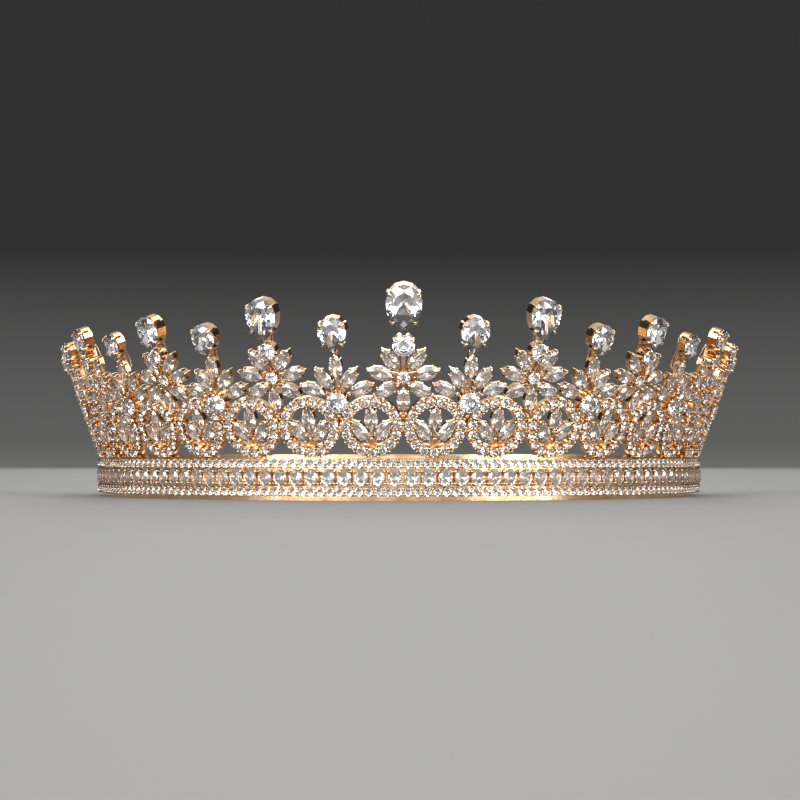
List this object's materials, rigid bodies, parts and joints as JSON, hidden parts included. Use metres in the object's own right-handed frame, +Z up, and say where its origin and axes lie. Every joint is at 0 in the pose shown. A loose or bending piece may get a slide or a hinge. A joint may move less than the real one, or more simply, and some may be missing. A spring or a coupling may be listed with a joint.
{
  "type": "bridal crown",
  "caption": "Open-backed bridal crown: a pierced stone-set band under an outward-leaning crest of wreath rings, flowers and pear stones, with two arms that end in rings.",
  "frame": {"origin": "on the surface the crown stands on, under the middle of its box", "axes": "+Z up, -Y towards the front with the tallest stone, +X to the wearer's left"},
  "size_m": [0.1728, 0.1445, 0.0481],
  "materials": {
    "gold": "polished, warm yellow",
    "white_stone": "faceted and clear",
    "blush_stone": "faceted and clear, with a faint blush"
  },
  "bodies": {
    "root": {"crown_frame": "gold", "petal_stones": "blush_stone", "wreath_leaf_stones": "blush_stone", "flower_center_stones": "white_stone", "pear_stone_center": "white_stone", "pear_stone_left_1": "white_stone", "pear_stone_right_1": "white_stone", "pear_stone_left_2": "white_stone", "pear_stone_right_2": "white_stone", "pear_stone_left_3": "white_stone", "pear_stone_right_3": "white_stone", "pear_stone_left_4": "white_stone", "pear_stone_right_4": "white_stone", "pear_stone_left_5": "white_stone", "pear_stone_right_5": "white_stone", "pear_stone_left_6": "white_stone", "pear_stone_right_6": "white_stone", "pear_stone_left_7": "white_stone", "pear_stone_right_7": "white_stone", "pear_stone_left_8": "white_stone", "pear_stone_right_8": "white_stone", "round_stone_center": "white_stone", "round_stone_left_1": "white_stone", "round_stone_right_1": "white_stone", "round_stone_left_2": "white_stone", "round_stone_right_2": "white_stone", "round_stone_left_3": "white_stone", "round_stone_right_3": "white_stone", "round_stone_left_4": "white_stone", "round_stone_right_4": "white_stone", "round_stone_left_5": "white_stone", "round_stone_right_5": "white_stone", "round_stone_left_6": "white_stone", "round_stone_right_6": "white_stone", "round_stone_left_7": "white_stone", "round_stone_right_7": "white_stone", "round_stone_left_9": "white_stone", "round_stone_right_9": "white_stone"}
  },
  "joints": []
}
